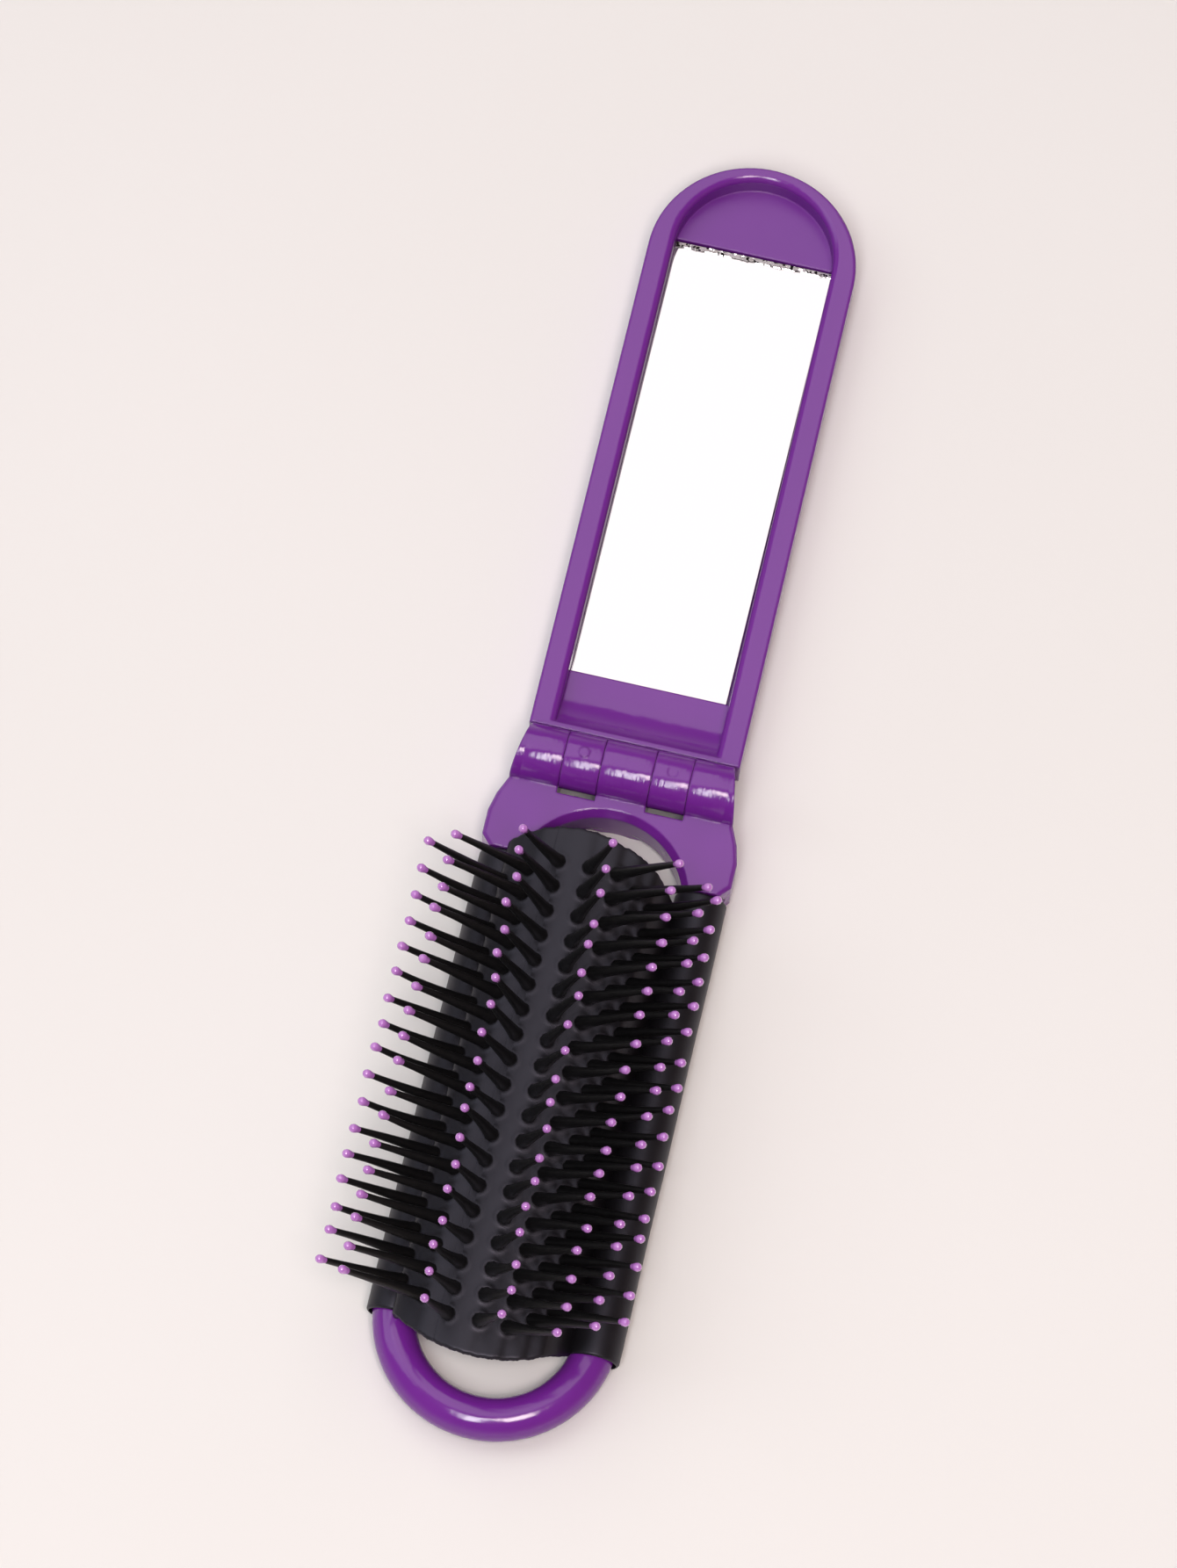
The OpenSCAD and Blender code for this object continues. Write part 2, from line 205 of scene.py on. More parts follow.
# each knuckle is a little fuller in its middle than at its two ends, where the plastic shrank:
# 2 u - u * u, where u runs from 0 at an end to 1 at the middle
first_cut_x, half_knuckle = 0.00412, 0.00305
where = add_node(tree, "SeparateXYZ", {"Vector": place})
half_across = add_node(tree, "Math", {0: where.outputs["X"]},
                       operation="ABSOLUTE").outputs["Value"]
from_end = add_node(tree, "Math", {0: half_across, 1: first_cut_x},
                    operation="SUBTRACT").outputs["Value"]
in_knuckle = add_node(tree, "Math", {0: from_end, 1: half_knuckle},
                      operation="PINGPONG").outputs["Value"]
fullness = add_node(tree, "Math", {0: in_knuckle, 1: half_knuckle},
                    operation="DIVIDE").outputs["Value"]
left_over = add_node(tree, "Math", {0: 2.0, 1: fullness}, operation="SUBTRACT").outputs["Value"]
crown = add_node(tree, "Math", {0: fullness, 1: left_over}, operation="MULTIPLY").outputs["Value"]
crown_bump = add_node(tree, "Bump", {"Height": crown, "Strength": on_barrel.outputs["Result"],
                                     "Distance": 0.0004,
                                     "Normal": rubbed_bump.outputs["Normal"]})
worn = add_node(tree, "MapRange", {"Value": flow.outputs["Fac"], "From Min": 0.3,
                                   "From Max": 0.7, "To Min": 0.09, "To Max": 0.16})
# only the deep tray of the lid was left satin by the mould. It starts past the hinge, lies
# between the rim and the back, and ends in a half circle
tray_start_y, tray_round_y, rim_z, back_z = 0.017, 0.0898, 0.0078, 0.0004
wall_from, wall_to, satin_rough = 0.0154, 0.0148, 0.22
along_lid = add_node(tree, "MapRange", {"Value": where.outputs["Y"], "From Min": tray_start_y,
                                        "From Max": tray_start_y + 0.002})
below_rim = add_node(tree, "MapRange", {"Value": where.outputs["Z"], "From Min": rim_z,
                                        "From Max": rim_z - 0.0006, "To Max": satin_rough})
above_back = add_node(tree, "MapRange", {"Value": where.outputs["Z"], "From Min": back_z,
                                         "From Max": back_z + 0.0004})
# the tray is all that lies within 15 mm of a line up to the middle of that half circle
from_round = add_node(tree, "VectorMath", {0: place, 1: (0.0, tray_round_y, 0.0)},
                      operation="SUBTRACT").outputs["Vector"]
past_round = add_node(tree, "VectorMath", {0: from_round, 1: (-1.0, 0.0, -1.0)},
                      operation="MAXIMUM").outputs["Vector"]
flat_way = add_node(tree, "VectorMath", {0: past_round, 1: (1.0, 1.0, 0.0)},
                    operation="MULTIPLY").outputs["Vector"]
off_line = add_node(tree, "VectorMath", {0: flat_way}, operation="LENGTH").outputs["Value"]
in_tray = add_node(tree, "MapRange", {"Value": off_line, "From Min": wall_from,
                                      "From Max": wall_to})
part_way = add_node(tree, "Math", {0: along_lid.outputs["Result"], 1: in_tray.outputs["Result"]},
                    operation="MULTIPLY").outputs["Value"]
inside = add_node(tree, "Math", {0: part_way, 1: above_back.outputs["Result"]},
                  operation="MULTIPLY").outputs["Value"]
satin = add_node(tree, "Math", {0: inside, 1: below_rim.outputs["Result"],
                                2: worn.outputs["Result"]}, operation="MULTIPLY_ADD")
end_material(tree, {"Base Color": dye.outputs[2], "Roughness": satin.outputs["Value"],
                    "IOR": 1.54, "Normal": crown_bump.outputs["Normal"]})
for name in ("yoke", "loop_rod"):
    nodes[name].data.materials.clear()
    nodes[name].data.materials.append(purple)

# ---------------------------------------------------------------------------
# Hinge pin
# A plain length of drawn steel wire pressed into the yoke's knuckles. Only
# its cut ends can be seen.
pin_steel, tree, place = start_material("drawn_steel_wire")
along = add_node(tree, "Mapping", {"Vector": place, "Scale": (0.05, 1.0, 1.0)})
drawn = add_node(tree, "TexNoise", {"Vector": along.outputs["Vector"], "Scale": 5000.0})
steel_shade = add_node(tree, "MapRange", {"Value": drawn.outputs["Fac"], "To Min": 0.25,
                                          "To Max": 0.45})
drawn_bump = add_node(tree, "Bump", {"Height": drawn.outputs["Fac"], "Strength": 0.2,
                                     "Distance": 0.00005})
end_material(tree, {"Base Color": linear("B9BBBD"), "Metallic": 1.0,
                    "Roughness": steel_shade.outputs["Result"],
                    "Normal": drawn_bump.outputs["Normal"]})
nodes["hinge_pin"].data.materials.clear()
nodes["hinge_pin"].data.materials.append(pin_steel)

# ---------------------------------------------------------------------------
# Lid
# A tray moulded from the same purple ABS, with two knuckles of the hinge and
# a deep recess that takes the bristles when the brush is shut.
nodes["lid_shell"].data.materials.clear()
nodes["lid_shell"].data.materials.append(purple)

# ---------------------------------------------------------------------------
# Mirror and its tape
# A strip of silvered glass, snapped to length, so that its far end is chipped.
# Foam tape holds it in its pocket in the lid.
mm = 0.001
mirror_half_w, mirror_near_y = 12.7, 16.4
mirror_low_z, mirror_top_z = 2.15, 3.35


def grid_faces(rows, across, wrap_rows=False, wrap_across=True):
    """Quads of a grid whose point (i, j) has number i * across + j: each joins (i, j),
    (i, j + 1), (i + 1, j + 1) and (i + 1, j), round the end where a direction wraps."""
    i, j = np.meshgrid(np.arange(rows - (not wrap_rows)),
                       np.arange(across - (not wrap_across)), indexing="ij")
    i2, j2 = (i + 1) % rows, (j + 1) % across
    return np.stack([i * across + j, i * across + j2, i2 * across + j2, i2 * across + j],
                    -1).reshape(-1, 4)


def make_piece(name, points, faces, *finishes, which=None, sharp_degrees=40):
    """A mesh object at the origin from points in mm and lists of faces. Faces are smooth, with
    hard edges where two of them meet at more than sharp_degrees. which gives each face the
    number of its finish."""
    mesh = bpy.data.meshes.new(name)
    mesh.from_pydata((np.asarray(points).reshape(-1, 3) * mm).tolist(), [],
                     [list(map(int, f)) for f in faces])
    for finish in finishes:
        mesh.materials.append(finish)
    if which is not None:
        mesh.polygons.foreach_set("material_index", np.asarray(which, np.int32))
    mesh.polygons.foreach_set("use_smooth", np.ones(len(mesh.polygons), bool))
    mesh.set_sharp_from_angle(angle=np.radians(sharp_degrees))
    mesh.validate()
    piece = bpy.data.objects.new(name, mesh)
    bpy.context.scene.collection.objects.link(piece)
    return piece


# the silver behind clear glass: a bright metal with a faint cool tint
silvered, tree, place = start_material("silvered_mirror_glass")
haze = add_node(tree, "TexNoise", {"Vector": place, "Scale": 60.0, "Detail": 3.0})
haze_rough = add_node(tree, "MapRange", {"Value": haze.outputs["Fac"], "To Min": 0.015,
                                         "To Max": 0.06})
waviness = add_node(tree, "Bump", {"Height": haze.outputs["Fac"], "Strength": 0.02,
                                   "Distance": 0.0001})
end_material(tree, {"Base Color": linear("D6D1D2"), "Metallic": 1.0,
                    "Roughness": haze_rough.outputs["Result"],
                    "Normal": waviness.outputs["Normal"]})
# the ground edges are frosted, and their pinkish lavender tint is painted reflection of the purple
# lid around them
ground, tree, place = start_material("ground_glass_edge")
frost = add_node(tree, "TexNoise", {"Vector": place, "Scale": 3000.0, "Detail": 2.0})
frost_and_painted_lid_reflection = add_node(tree, "Mix", {"Factor": frost.outputs["Fac"], 6: linear("C9B0C4"),
                                     7: linear("EBDCE6")}, data_type="RGBA")
frost_bump = add_node(tree, "Bump", {"Height": frost.outputs["Fac"], "Strength": 0.3,
                                     "Distance": 0.00003})
end_material(tree, {"Base Color": frost_and_painted_lid_reflection.outputs[2], "Roughness": 0.4,
                    "Normal": frost_bump.outputs["Normal"]})
# the snapped end shows bright flakes of silver, and between them shells of bare glass painted near
# black as the shade inside the chipped edge
snapped, tree, place = start_material("snapped_glass_edge")
shell = add_node(tree, "TexNoise", {"Vector": place, "Scale": 1500.0, "Detail": 2.0})
silver_flakes_and_painted_shade = add_node(tree, "ValToRGB", {"Fac": shell.outputs["Fac"]})
silver_flakes_and_painted_shade.color_ramp.elements[0].color = linear("17120F")
silver_flakes_and_painted_shade.color_ramp.elements[0].position = 0.42
silver_flakes_and_painted_shade.color_ramp.elements[1].color = linear("EFEBEC")
silver_flakes_and_painted_shade.color_ramp.elements[1].position = 0.47
shell_bump = add_node(tree, "Bump", {"Height": shell.outputs["Fac"], "Strength": 0.6,
                                     "Distance": 0.0002})
end_material(tree, {"Base Color": silver_flakes_and_painted_shade.outputs["Color"], "Metallic": 0.5, "Roughness": 0.2,
                    "Normal": shell_bump.outputs["Normal"]})

# the plate is a closed outline of (x, z), carried along Y: the top from left to right, the right
# edge, the underside from right to left and the left edge. The long edges are ground round
face_points, edge_points = 72, 4
last_low = 2 * face_points + edge_points - 1
count = last_low + 1 + edge_points
face_x = np.linspace(-1, 1, face_points) * (mirror_half_w - 0.05)
right_x = np.array([mirror_half_w - 0.02, mirror_half_w, mirror_half_w, mirror_half_w - 0.1])
right_z = np.array([mirror_top_z - 0.03, mirror_top_z - 0.1, mirror_low_z + 0.1, mirror_low_z])
outline_x = np.concatenate([face_x, right_x, face_x[::-1], -right_x[::-1]])
outline_z = np.concatenate([np.full(face_points, mirror_top_z), right_z,
                            np.full(face_points, mirror_low_z), right_z[::-1]])
# the stations along the plate, in mm from its near end, and how far the top face lies lower at
# each. At the last of them, the snapped end, it stands up in splinters, and each of its points
# is off by its own chance amount
station_y = np.array([0, 0.05, 0.12, 20, 40, 60, 75.5, 75.9, 76.1, 76.3, 76.45, 76.55])
drop = np.array([0.1, 0.02, 0, 0, 0, 0, 0, 0.03, -0.05, -0.3, -0.55, -0.75])
first_whole, first_snapped = 2, 8
chance = np.random.default_rng(41)
coarse = np.interp(np.arange(face_points), np.arange(0, face_points, 3), chance.random(24))
rough = 0.6 * coarse + 0.4 * chance.random((len(station_y), face_points))
ragged = np.interp(station_y, [75.5, 76.3, 76.55], [0, 1, 0.9])[:, None]
# the glass was cut by hand: its left side is straight, its right side leans out by 0.6 mm towards
# the far end, and its far end is 0.1 mm out of square
plate_long, near_w, more_w, left_x = 76.5, 25.3, 0.6, -12.95
out_of_square, chip_depth = 0.0006, 0.4
slant = 1 + out_of_square * outline_x / mirror_half_w
plate = np.zeros((len(station_y), count, 3))
plate[:, :, 1] = mirror_near_y + station_y[:, None] * slant
wide = near_w + more_w * station_y[:, None] / plate_long
plate[:, :, 0] = (outline_x / mirror_half_w + 1) / 2 * wide + left_x
plate[:, :, 2] = outline_z
plate[:, :face_points, 1] -= ragged * rough * chip_depth
plate[:, :face_points, 2] -= drop[:, None] * (1 + ragged * (rough - 0.5))
edges = np.r_[face_points:face_points + edge_points, last_low + 1:count]
plate[:, edges, 2] = np.clip(plate[:, edges, 2], mirror_low_z,
                             np.maximum(mirror_top_z - drop, mirror_low_z)[:, None])
plate_faces = grid_faces(len(station_y), count)
station = np.arange(len(plate_faces)) // count
spot = np.arange(len(plate_faces)) % count
on_edge = (spot >= face_points - 1) | (station < first_whole)
finish = np.where(station >= first_snapped, 2, np.where(on_edge, 1, 0))
# each end is closed by upright strips between the top and the underside, and by one face at
# either side of them
i = np.arange(face_points - 1)
end_strips = np.stack([i, last_low - i, last_low - 1 - i, i + 1], -1).tolist()
end_strips += [list(range(face_points + edge_points, face_points - 2, -1)),
               [0, *range(count - 1, last_low - 1, -1)]]
last_ring = (len(station_y) - 1) * count
plate_all = plate_faces.tolist() + end_strips
plate_all += [[last_ring + point for point in strip[::-1]] for strip in end_strips]
finish = np.concatenate([finish, np.repeat([1, 2], len(end_strips))])
mirror_plate = make_piece("mirror_plate", plate, plate_all, silvered, ground, snapped,
                          which=finish, sharp_degrees=20)
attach(mirror_plate, "lid")
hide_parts("mirror_glass")

# closed-cell foam: dark, matt, with pores about 0.3 mm across, whose pits are painted darker as
# shade
foam, tree, place = start_material("closed_cell_foam_tape")
pores = add_node(tree, "TexVoronoi", {"Vector": place, "Scale": 3300.0})
foam_painted_pit_shade = add_node(tree, "Mix", {"Factor": pores.outputs["Distance"], 6: linear("241F21"),
                                    7: linear("4A4044")}, data_type="RGBA")
pore_bump = add_node(tree, "Bump", {"Height": pores.outputs["Distance"], "Strength": 0.5,
                                    "Distance": 0.0001})
end_material(tree, {"Base Color": foam_painted_pit_shade.outputs[2], "Roughness": 0.85,
                    "Normal": pore_bump.outputs["Normal"]})
nodes["mirror_tape"].data.materials.clear()
nodes["mirror_tape"].data.materials.append(foam)

# ---------------------------------------------------------------------------
# Rubber sleeves
# Two tubes moulded in one with the pad, slipped over the legs of the rod. They
# turn on the rod when the pad is pushed through.
rod_x, rod_z = 15.7, 4.25
sleeve_r, bore_r, sleeve_round, sleeve_sides = 4.2, 3.45, 0.45, 48
sleeve_near_y, sleeve_far_y = -16.45, -92.46
# the bore widens to a flare at the loop's end, where the rod starts to bend
flare_r, flare_long, bore_chamfer = 3.8, 4.7, 0.3
wall_stations, round_stations, swell_by = 40, 5, 0.03

# black rubber from a matt mould: deep grey-black, satin, with a bloom that is a little lighter
# in patches a few millimetres across, and a very fine grain
rubber, tree, place = start_material("moulded_black_rubber")
bloom = add_node(tree, "TexNoise", {"Vector": place, "Scale": 160.0, "Detail": 4.0})
rubber_shade = add_node(tree, "Mix", {"Factor": bloom.outputs["Fac"], 6: linear("100F11"),
                                      7: linear("18171A")}, data_type="RGBA")
mould_grain = add_node(tree, "TexNoise", {"Vector": place, "Scale": 6000.0, "Detail": 2.0})
grain_bump = add_node(tree, "Bump", {"Height": mould_grain.outputs["Fac"], "Strength": 0.12,
                                     "Distance": 0.00006})
soft_bump = add_node(tree, "Bump", {"Height": bloom.outputs["Fac"], "Strength": 0.12,
                                    "Distance": 0.0004, "Normal": grain_bump.outputs["Normal"]})
rubber_rough = add_node(tree, "MapRange", {"Value": bloom.outputs["Fac"], "From Min": 0.3,
                                           "From Max": 0.7, "To Min": 0.38, "To Max": 0.48})
end_material(tree, {"Base Color": rubber_shade.outputs[2],
                    "Roughness": rubber_rough.outputs["Result"], "IOR": 1.46,
                    "Specular Tint": linear("E9E6FF"),
                    "Normal": soft_bump.outputs["Normal"]})


def sleeve_points(side):
    """The tube's wall is a closed outline of (radius, y) turned about the rod: out along the
    outer face, round each end, and back along the bore. The outer face swells by 0.03 mm to
    either side, as soft rubber does, and is drawn in by as much to stay within its size."""
    y_out = np.linspace(sleeve_near_y - sleeve_round, sleeve_far_y + sleeve_round,
                        wall_stations)[1:-1]
    turn = np.radians(np.linspace(90, 0, round_stations))
    near_r = sleeve_r - sleeve_round + sleeve_round * np.sin(turn)
    near_y = sleeve_near_y - sleeve_round + sleeve_round * np.cos(turn)
    far_y = sleeve_far_y + sleeve_round - sleeve_round * np.cos(turn)
    bore_y = np.array([sleeve_far_y, sleeve_far_y + bore_chamfer, sleeve_far_y + flare_long,
                       sleeve_near_y - bore_chamfer, sleeve_near_y])
    bore = np.array([flare_r, flare_r - 0.04, bore_r, bore_r, bore_r + 0.1])
    radius = np.concatenate([near_r[::-1], np.full(len(y_out), sleeve_r), near_r, bore])
    y = np.concatenate([near_y[::-1], y_out, far_y, bore_y])
    angle = 2 * np.pi * np.arange(sleeve_sides) / sleeve_sides
    on_wall = (radius > sleeve_r - 0.01)[:, None]
    swell = swell_by * np.sin(y[:, None] * 0.21 + side) * on_wall
    r = radius[:, None] - swell_by * (radius > 4)[:, None] + swell * np.cos(2 * angle)
    return np.stack([side * rod_x + r * np.cos(angle), np.broadcast_to(y[:, None], r.shape),
                     rod_z + r * np.sin(angle)], -1)


for side, word in ((-1, "left"), (1, "right")):
    tube = sleeve_points(side)
    sleeve = make_piece("rubber_sleeve_" + word, tube,
                        grid_faces(tube.shape[0], tube.shape[1], wrap_rows=True), rubber)
    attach(sleeve, "sleeve_" + word)
    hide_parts("pad_sleeve_" + word)

# ---------------------------------------------------------------------------
# Rubber pad
# The arched web between the sleeves, 1.3 mm thick, with a low lip round the
# foot of every bristle. It is built in strips from one row of bristles to the
# next.
rows = "abcdefg"
row_x = np.array([-15.0, -11.25, -6.95, -2.05, 2.4, 5.9, 8.6])
row_z = 8.55 + np.array([1.9, 4.1, 5.0, 5.2, 4.8, 4.2, 3.4])
# each row fans a little: the lean of its first pin, and of its last
lean_near = np.array([-43.2, -42.7, -17.8, 11.9, 34.8, 40.3, 37.3])
lean_far = np.array([-45.3, -45.6, -9.4, 14.3, 30.1, 36.6, 41.4])
row_pins = np.array([17, 18, 19, 19, 19, 18, 17])
row_shift = np.array([1, 0.5, 0, 0, 0, 0.5, 1])
first_foot_y, first_tip_y = -18.2, -19.1
base_pitch, tip_pitch = 4.12, 4.205
web_t, web_round, web_long = 1.3, 0.5, 84
# both ends of the pad are bowed: where each arc is furthest out, and its radius
near_arc_x, near_arc_y, near_arc_r = -4, -12.15, 22
far_arc_x, far_arc_y, far_arc_r = -1.9, -97.9, 23
# low down on the left the pad starts behind the end of the yoke's leg, and higher up before it
leg_y, leg_z, leg_slope = -16.5, 8.5, 1.6 / 0.9
# the points that the arch goes through, and its slope at each, from sleeve to sleeve
knot = np.stack([np.concatenate([[-15.4], row_x, [12.3]]),
                 np.concatenate([[7.8], row_z, [6.1]])], -1)
slope = np.radians([99, 43, 31, 10, -8, -20, -25, -40, -64])


def arch(u):
    """The cross-section of the pad: a cubic Hermite curve through the knots, whose tangent at
    each is the knot's slope times the length of the chord. Gives points and unit normals."""
    u = np.asarray(u, float)
    k = np.clip(u.astype(int), 0, len(knot) - 2)
    t = (u - k)[..., None]
    p, q = knot[k], knot[k + 1]
    chord = np.linalg.norm(q - p, axis=-1, keepdims=True)
    dp = chord * np.stack([np.cos(slope[k]), np.sin(slope[k])], -1)
    dq = chord * np.stack([np.cos(slope[k + 1]), np.sin(slope[k + 1])], -1)
    point = ((2 * t ** 3 - 3 * t ** 2 + 1) * p + (t ** 3 - 2 * t ** 2 + t) * dp
             + (3 * t ** 2 - 2 * t ** 3) * q + (t ** 3 - t ** 2) * dq)
    way = ((6 * t ** 2 - 6 * t) * (p - q) + (3 * t ** 2 - 4 * t + 1) * dp
           + (3 * t ** 2 - 2 * t) * dq)
    way = way / np.linalg.norm(way, axis=-1, keepdims=True)
    return point, np.stack([-way[..., 1], way[..., 0]], -1)


def pad_ends(x):
    """Where the pad starts and stops along Y at x: each end falls back by
    r - sqrt(r * r - x * x), x from the middle of its arc, and is a little uneven where the
    moulding's flash was torn off."""
    near_drop = near_arc_r - np.sqrt(near_arc_r ** 2 - (x - near_arc_x) ** 2)
    far_drop = far_arc_r - np.sqrt(far_arc_r ** 2 - (x - far_arc_x) ** 2)
    near_wave = 0.07 * np.sin(2.3 * x) + 0.05 * np.sin(5.9 * x + 1)
    nick = 0.3 * np.exp(-((x - 1.0) / 0.5) ** 2) + 0.22 * np.exp(-((x - 2.6) / 0.8) ** 2)
    far_wave = 0.05 * np.sin(3.1 * x + 2) + 0.04 * np.sin(8.3 * x)
    return near_arc_y - near_drop + near_wave - nick, far_arc_y + far_drop + far_wave


def lips(points, reach=2.4):
    """Height of the lips: round each bristle's foot a ring of rubber, 0.14 mm high at 1.3 mm
    from the middle, that falls off as a bell curve, with a hollow of 0.1 mm inside it."""
    height = np.zeros(points.shape[:-1])
    for k in range(len(rows)):
        pin = np.arange(row_pins[k]) + row_shift[k]
        pin_y = first_foot_y - base_pitch * pin
        nearest = pin_y[np.abs(points[..., 1, None] - pin_y).argmin(-1)]
        across = np.hypot(points[..., 0] - row_x[k], points[..., 2] - row_z[k])
        r = np.hypot(across, points[..., 1] - nearest)
        height += np.where(r < reach, 0.14 * np.exp(-((r - 1.3) / 0.3) ** 2)
                           - 0.1 * np.exp(-(r / 0.9) ** 2), 0)
    return height


def web_strip(name, u0, u1, step=0.3, low=False, thick=None):
    """A closed slab of the pad from u0 to u1 of the arch. Each station is a loop: over the top
    from the near end to the far end, round the far edge, and back underneath. The last stations
    are closed by strips between top and underside. thick gives the share of the thickness that
    is left at each station, measured from the top, or from the underside where low is set."""
    length = np.linalg.norm(np.diff(arch(np.linspace(u0, u1, 40))[0], axis=0), axis=-1).sum()
    u = np.linspace(u0, u1, int(np.ceil(length / step)) + 1)
    section, normal = arch(u)
    share = np.ones(len(u)) if thick is None else np.interp(u, *thick)
    rim = web_round * np.array([0, 0.08, 0.3, 0.62, 1.0, 1.5])
    start, stop = pad_ends(section[:, 0])
    behind_leg = leg_y + leg_slope * np.clip(section[:, 1] - leg_z, 0, None)
    start = np.where(section[:, 0] > 0, start, np.minimum(start, behind_leg))
    span = (start - stop)[:, None]
    middle = np.linspace(0, 1, int(web_long / step))
    t = np.concatenate([rim[:-1][None] + 0 * span, rim[-1] + (span - 2 * rim[-1]) * middle,
                        span - rim[:-1][::-1]], 1)
    inset = np.minimum(t, span - t)
    beside = np.clip(web_round ** 2 - (web_round - inset) ** 2, 0, None)
    fall = np.where(inset < web_round, web_round - np.sqrt(beside), 0)
    y = start[:, None] - t
    left = web_t * share[:, None] + 0 * y
    top_depth = web_t - left if low else 0 * y
    low_depth = web_t + 0 * y if low else left
    half = (low_depth - top_depth) / 2
    top_depth = top_depth + np.minimum(fall, half * 0.98)
    low_depth = low_depth - np.minimum(fall, half * 0.98)

    def surface(depth):
        flat = section[:, None, :] - normal[:, None, :] * depth[..., None]
        return np.stack([flat[..., 0], y, flat[..., 1]], -1)

    top = surface(top_depth)
    if not low:
        raised = lips(top) * np.clip(inset / 0.8, 0, 1) * np.clip(share * 2, 0, 1)[:, None]
        top = surface(top_depth - raised)
    loop = np.concatenate([top, surface(low_depth)[:, ::-1]], 1)
    n, m = loop.shape[:2]
    faces = grid_faces(n, m).tolist()
    i = np.arange(m // 2 - 1)
    first = np.stack([m - 1 - i, m - 2 - i, i + 1, i], -1)
    last = (n - 1) * m + np.stack([i + 1, m - 2 - i, m - 1 - i, i], -1)
    faces += first.tolist() + last.tolist()
    return make_piece(name, loop, faces, rubber, sharp_degrees=50)


# the arch is cut at the rows. Each strip has its name, where it starts and stops on the arch, the
# two bodies that it joins, and where it starts and stops to bend between them
strips = [("pad_strip_ab", 0.75, 2.0, "column_a", "column_b", 1.25, 1.75),
          ("pad_strip_cd", 3.0, 4.0, "column_d", "column_c", 3.75, 3.25),
          ("pad_strip_de", 4.0, 5.0, "column_e", "column_d", 4.75, 4.25),
          ("pad_strip_ef", 5.0, 6.0, "column_f", "column_e", 5.75, 5.25),
          ("pad_strip_fg", 6.0, 7.0, "column_g", "column_f", 6.75, 6.25),
          ("pad_flank_right", 7.0, 8.0, "frame", "column_g", 7.95, 7.05)]
pad = []
for name, u0, u1, body_a, body_b, bend_from, bend_to in strips:
    strip = web_strip(name, u0, u1)
    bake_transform(strip)
    pad.append(strip)

# between rows b and c the two halves of the pad meet in a scarf joint
left_half = web_strip("pad_scarf_b", 2.0, 2.72, thick=([2.0, 2.3, 2.72], [1.0, 1.0, 0.08]))
right_half = web_strip("pad_scarf_c", 2.28, 3.0, low=True,
                       thick=([2.28, 2.7, 3.0], [0.08, 1.0, 1.0]))
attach(left_half, "column_b")
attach(right_half, "column_c")
pad += [left_half, right_half]

# the wall from the left sleeve up to row a is the part that stretches most
root = web_strip("pad_root_left", 0.0, 0.75, step=0.15)
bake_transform(root)
pad.append(root)

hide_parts("pad_web")

# ---------------------------------------------------------------------------
# Bristles
# 127 nylon pins in seven rows, each moulded with a stout conical foot and a
# thin shaft. No two stand quite alike.
pin_sides, pin_length = 8, 17.0
# heights above the pad and radii there: first the foot, then the shaft up into the ball
pin_z = np.array([-0.6, 0.45, 0.8, 1.3, 3.0, 5.0, 8.0, 11.0, 13.0, 16.75])
pin_r = np.array([1.18, 1.16, 1.1, 1.04, 0.95, 0.86, 0.73, 0.62, 0.55, 0.48])
# how far off a pin's lean is, in degrees, and how far it bows, in mm, as standard deviations
pin_stray, pin_bow = 0.9, 0.12

nylon, tree, place = start_material("moulded_black_nylon")
streak = add_node(tree, "TexNoise", {"Vector": place, "Scale": 900.0, "Detail": 2.0})
nylon_rough = add_node(tree, "MapRange", {"Value": streak.outputs["Fac"], "To Min": 0.34,
                                          "To Max": 0.5})
nylon_shade = add_node(tree, "Mix", {"Factor": streak.outputs["Fac"], 6: linear("09090A"),
                                     7: linear("121113")}, data_type="RGBA")
end_material(tree, {"Base Color": nylon_shade.outputs[2],
                    "Roughness": nylon_rough.outputs["Result"], "IOR": 1.47})


def pin_frames(k):
    """Foot, direction and bend of each pin of row k. A pin leans across by the row's angle and
    along by asin((tip y - foot y) / length), each off by a degree or so, and it bows by a tenth
    or two of a millimetre halfway up."""
    draw = np.random.default_rng(700 + k)
    pin = np.arange(row_pins[k]) + row_shift[k]
    base_y = first_foot_y - base_pitch * pin
    back = np.arcsin((base_y - first_tip_y + tip_pitch * pin) / pin_length)
    fan = np.linspace(lean_near[k], lean_far[k], len(pin))
    lean = np.radians(fan + draw.normal(0, pin_stray, len(pin)))
    back = back + np.radians(draw.normal(0, pin_stray, len(pin)))
    way = np.stack([np.sin(lean) * np.cos(back), -np.sin(back),
                    np.cos(lean) * np.cos(back)], -1)
    foot = np.stack([np.full(len(pin), row_x[k]), base_y, np.full(len(pin), row_z[k])], -1)
    side = np.cross(way, (0.0, 1.0, 0.0))
    side = side / np.linalg.norm(side, axis=-1, keepdims=True)
    other = np.cross(way, side)
    bow = draw.normal(0, pin_bow, (len(pin), 2))
    return foot, way, side, other, bow


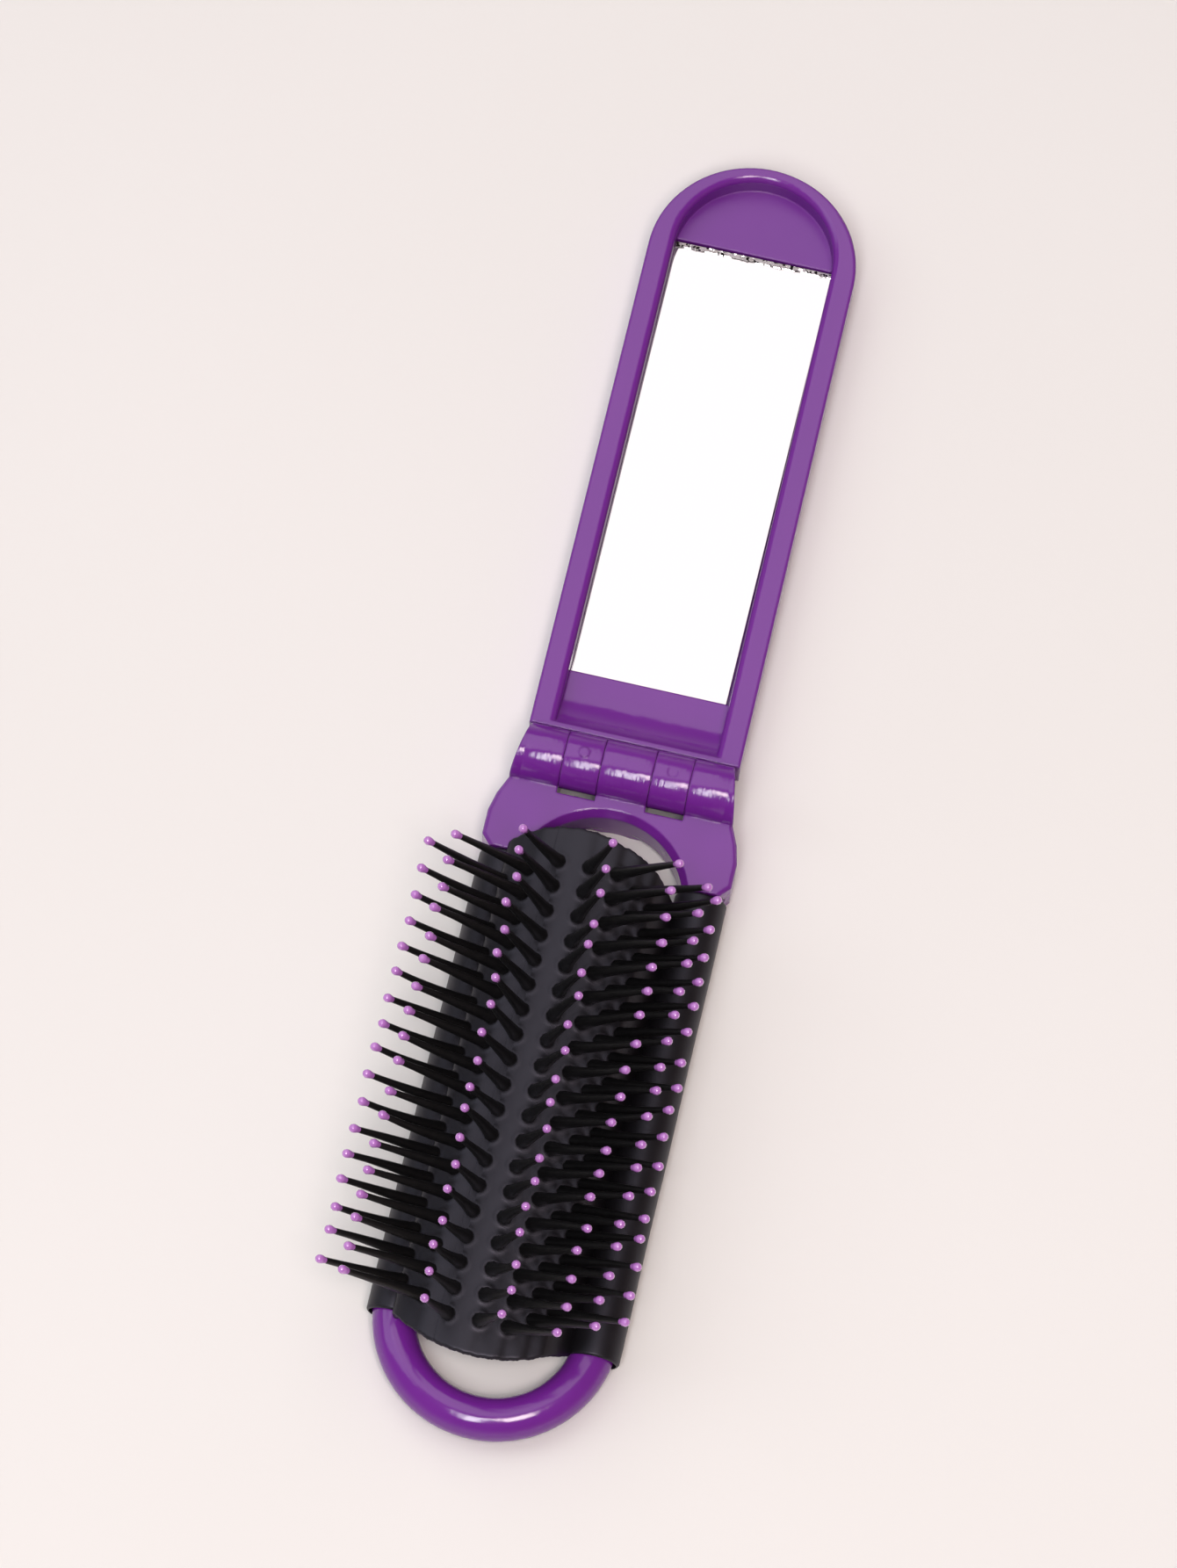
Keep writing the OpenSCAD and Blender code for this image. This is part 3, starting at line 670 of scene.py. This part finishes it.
def turned_shapes(k, height, radius, sides):
    """Rings of points round each pin's own line, at the given heights and radii. The line bows
    sideways as 4 h (1 - h) of its height h, so its foot and tip stay in place."""
    foot, way, side, other, bow = pin_frames(k)
    angle = 2 * np.pi * np.arange(sides) / sides
    h = np.clip(height / pin_length, 0, 1)
    off = bow[:, None, :] * (4 * h * (1 - h))[None, :, None]
    ring = radius[:, None, None] * (np.cos(angle)[None, :, None] * side[:, None, None, :]
                                    + np.sin(angle)[None, :, None] * other[:, None, None, :])
    line = (foot[:, None, :] + height[None, :, None] * way[:, None, :]
            + off[..., :1] * side[:, None, :] + off[..., 1:] * other[:, None, :])
    return line[:, :, None, :] + ring


def turned_faces(count, rings, sides):
    """Quads between the rings of every pin, and one many-sided face over each end."""
    one = grid_faces(rings, sides)
    ends = np.arange(sides)
    start = np.arange(count) * rings * sides
    faces = (start[:, None, None] + one[None]).reshape(-1, 4).tolist()
    faces += (start[:, None] + ends[::-1]).tolist()
    faces += (start[:, None] + (rings - 1) * sides + ends).tolist()
    return faces


for k, letter in enumerate(rows):
    shafts = turned_shapes(k, pin_z, pin_r, pin_sides)
    pins = make_piece("nylon_pins_" + letter, shafts,
                      turned_faces(len(shafts), len(pin_z), pin_sides), nylon,
                      sharp_degrees=70)
    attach(pins, "column_" + letter)
    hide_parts("bristles_" + letter)

# ---------------------------------------------------------------------------
# Ball tips
# Each pin's end is dipped in purple epoxy, which dries as a glossy ball with
# a short skirt down the shaft.
ball_sides = 10
ball_z = pin_length + np.array([-1.1, -0.95, -0.72, -0.42, -0.09, 0.22, 0.47, 0.64, 0.71])
ball_r = np.array([0.5, 0.52, 0.58, 0.66, 0.71, 0.67, 0.54, 0.35, 0.13])

epoxy, tree, place = start_material("dipped_purple_epoxy")
pool = add_node(tree, "TexNoise", {"Vector": place, "Scale": 700.0})
epoxy_shade = add_node(tree, "Mix", {"Factor": pool.outputs["Fac"], 6: linear("AC64BE"),
                                     7: linear("C485D6")}, data_type="RGBA")
epoxy_rough = add_node(tree, "MapRange", {"Value": pool.outputs["Fac"], "To Min": 0.06,
                                          "To Max": 0.14})
end_material(tree, {"Base Color": epoxy_shade.outputs[2],
                    "Roughness": epoxy_rough.outputs["Result"], "IOR": 1.55,
                    "Coat Weight": 1.0, "Coat Roughness": 0.05, "Coat IOR": 1.7})
for k, letter in enumerate(rows):
    balls = turned_shapes(k, ball_z, ball_r, ball_sides)
    tips = make_piece("ball_tips_" + letter, balls,
                      turned_faces(len(balls), len(ball_z), ball_sides), epoxy,
                      sharp_degrees=80)
    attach(tips, "column_" + letter)
    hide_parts("tips_" + letter)
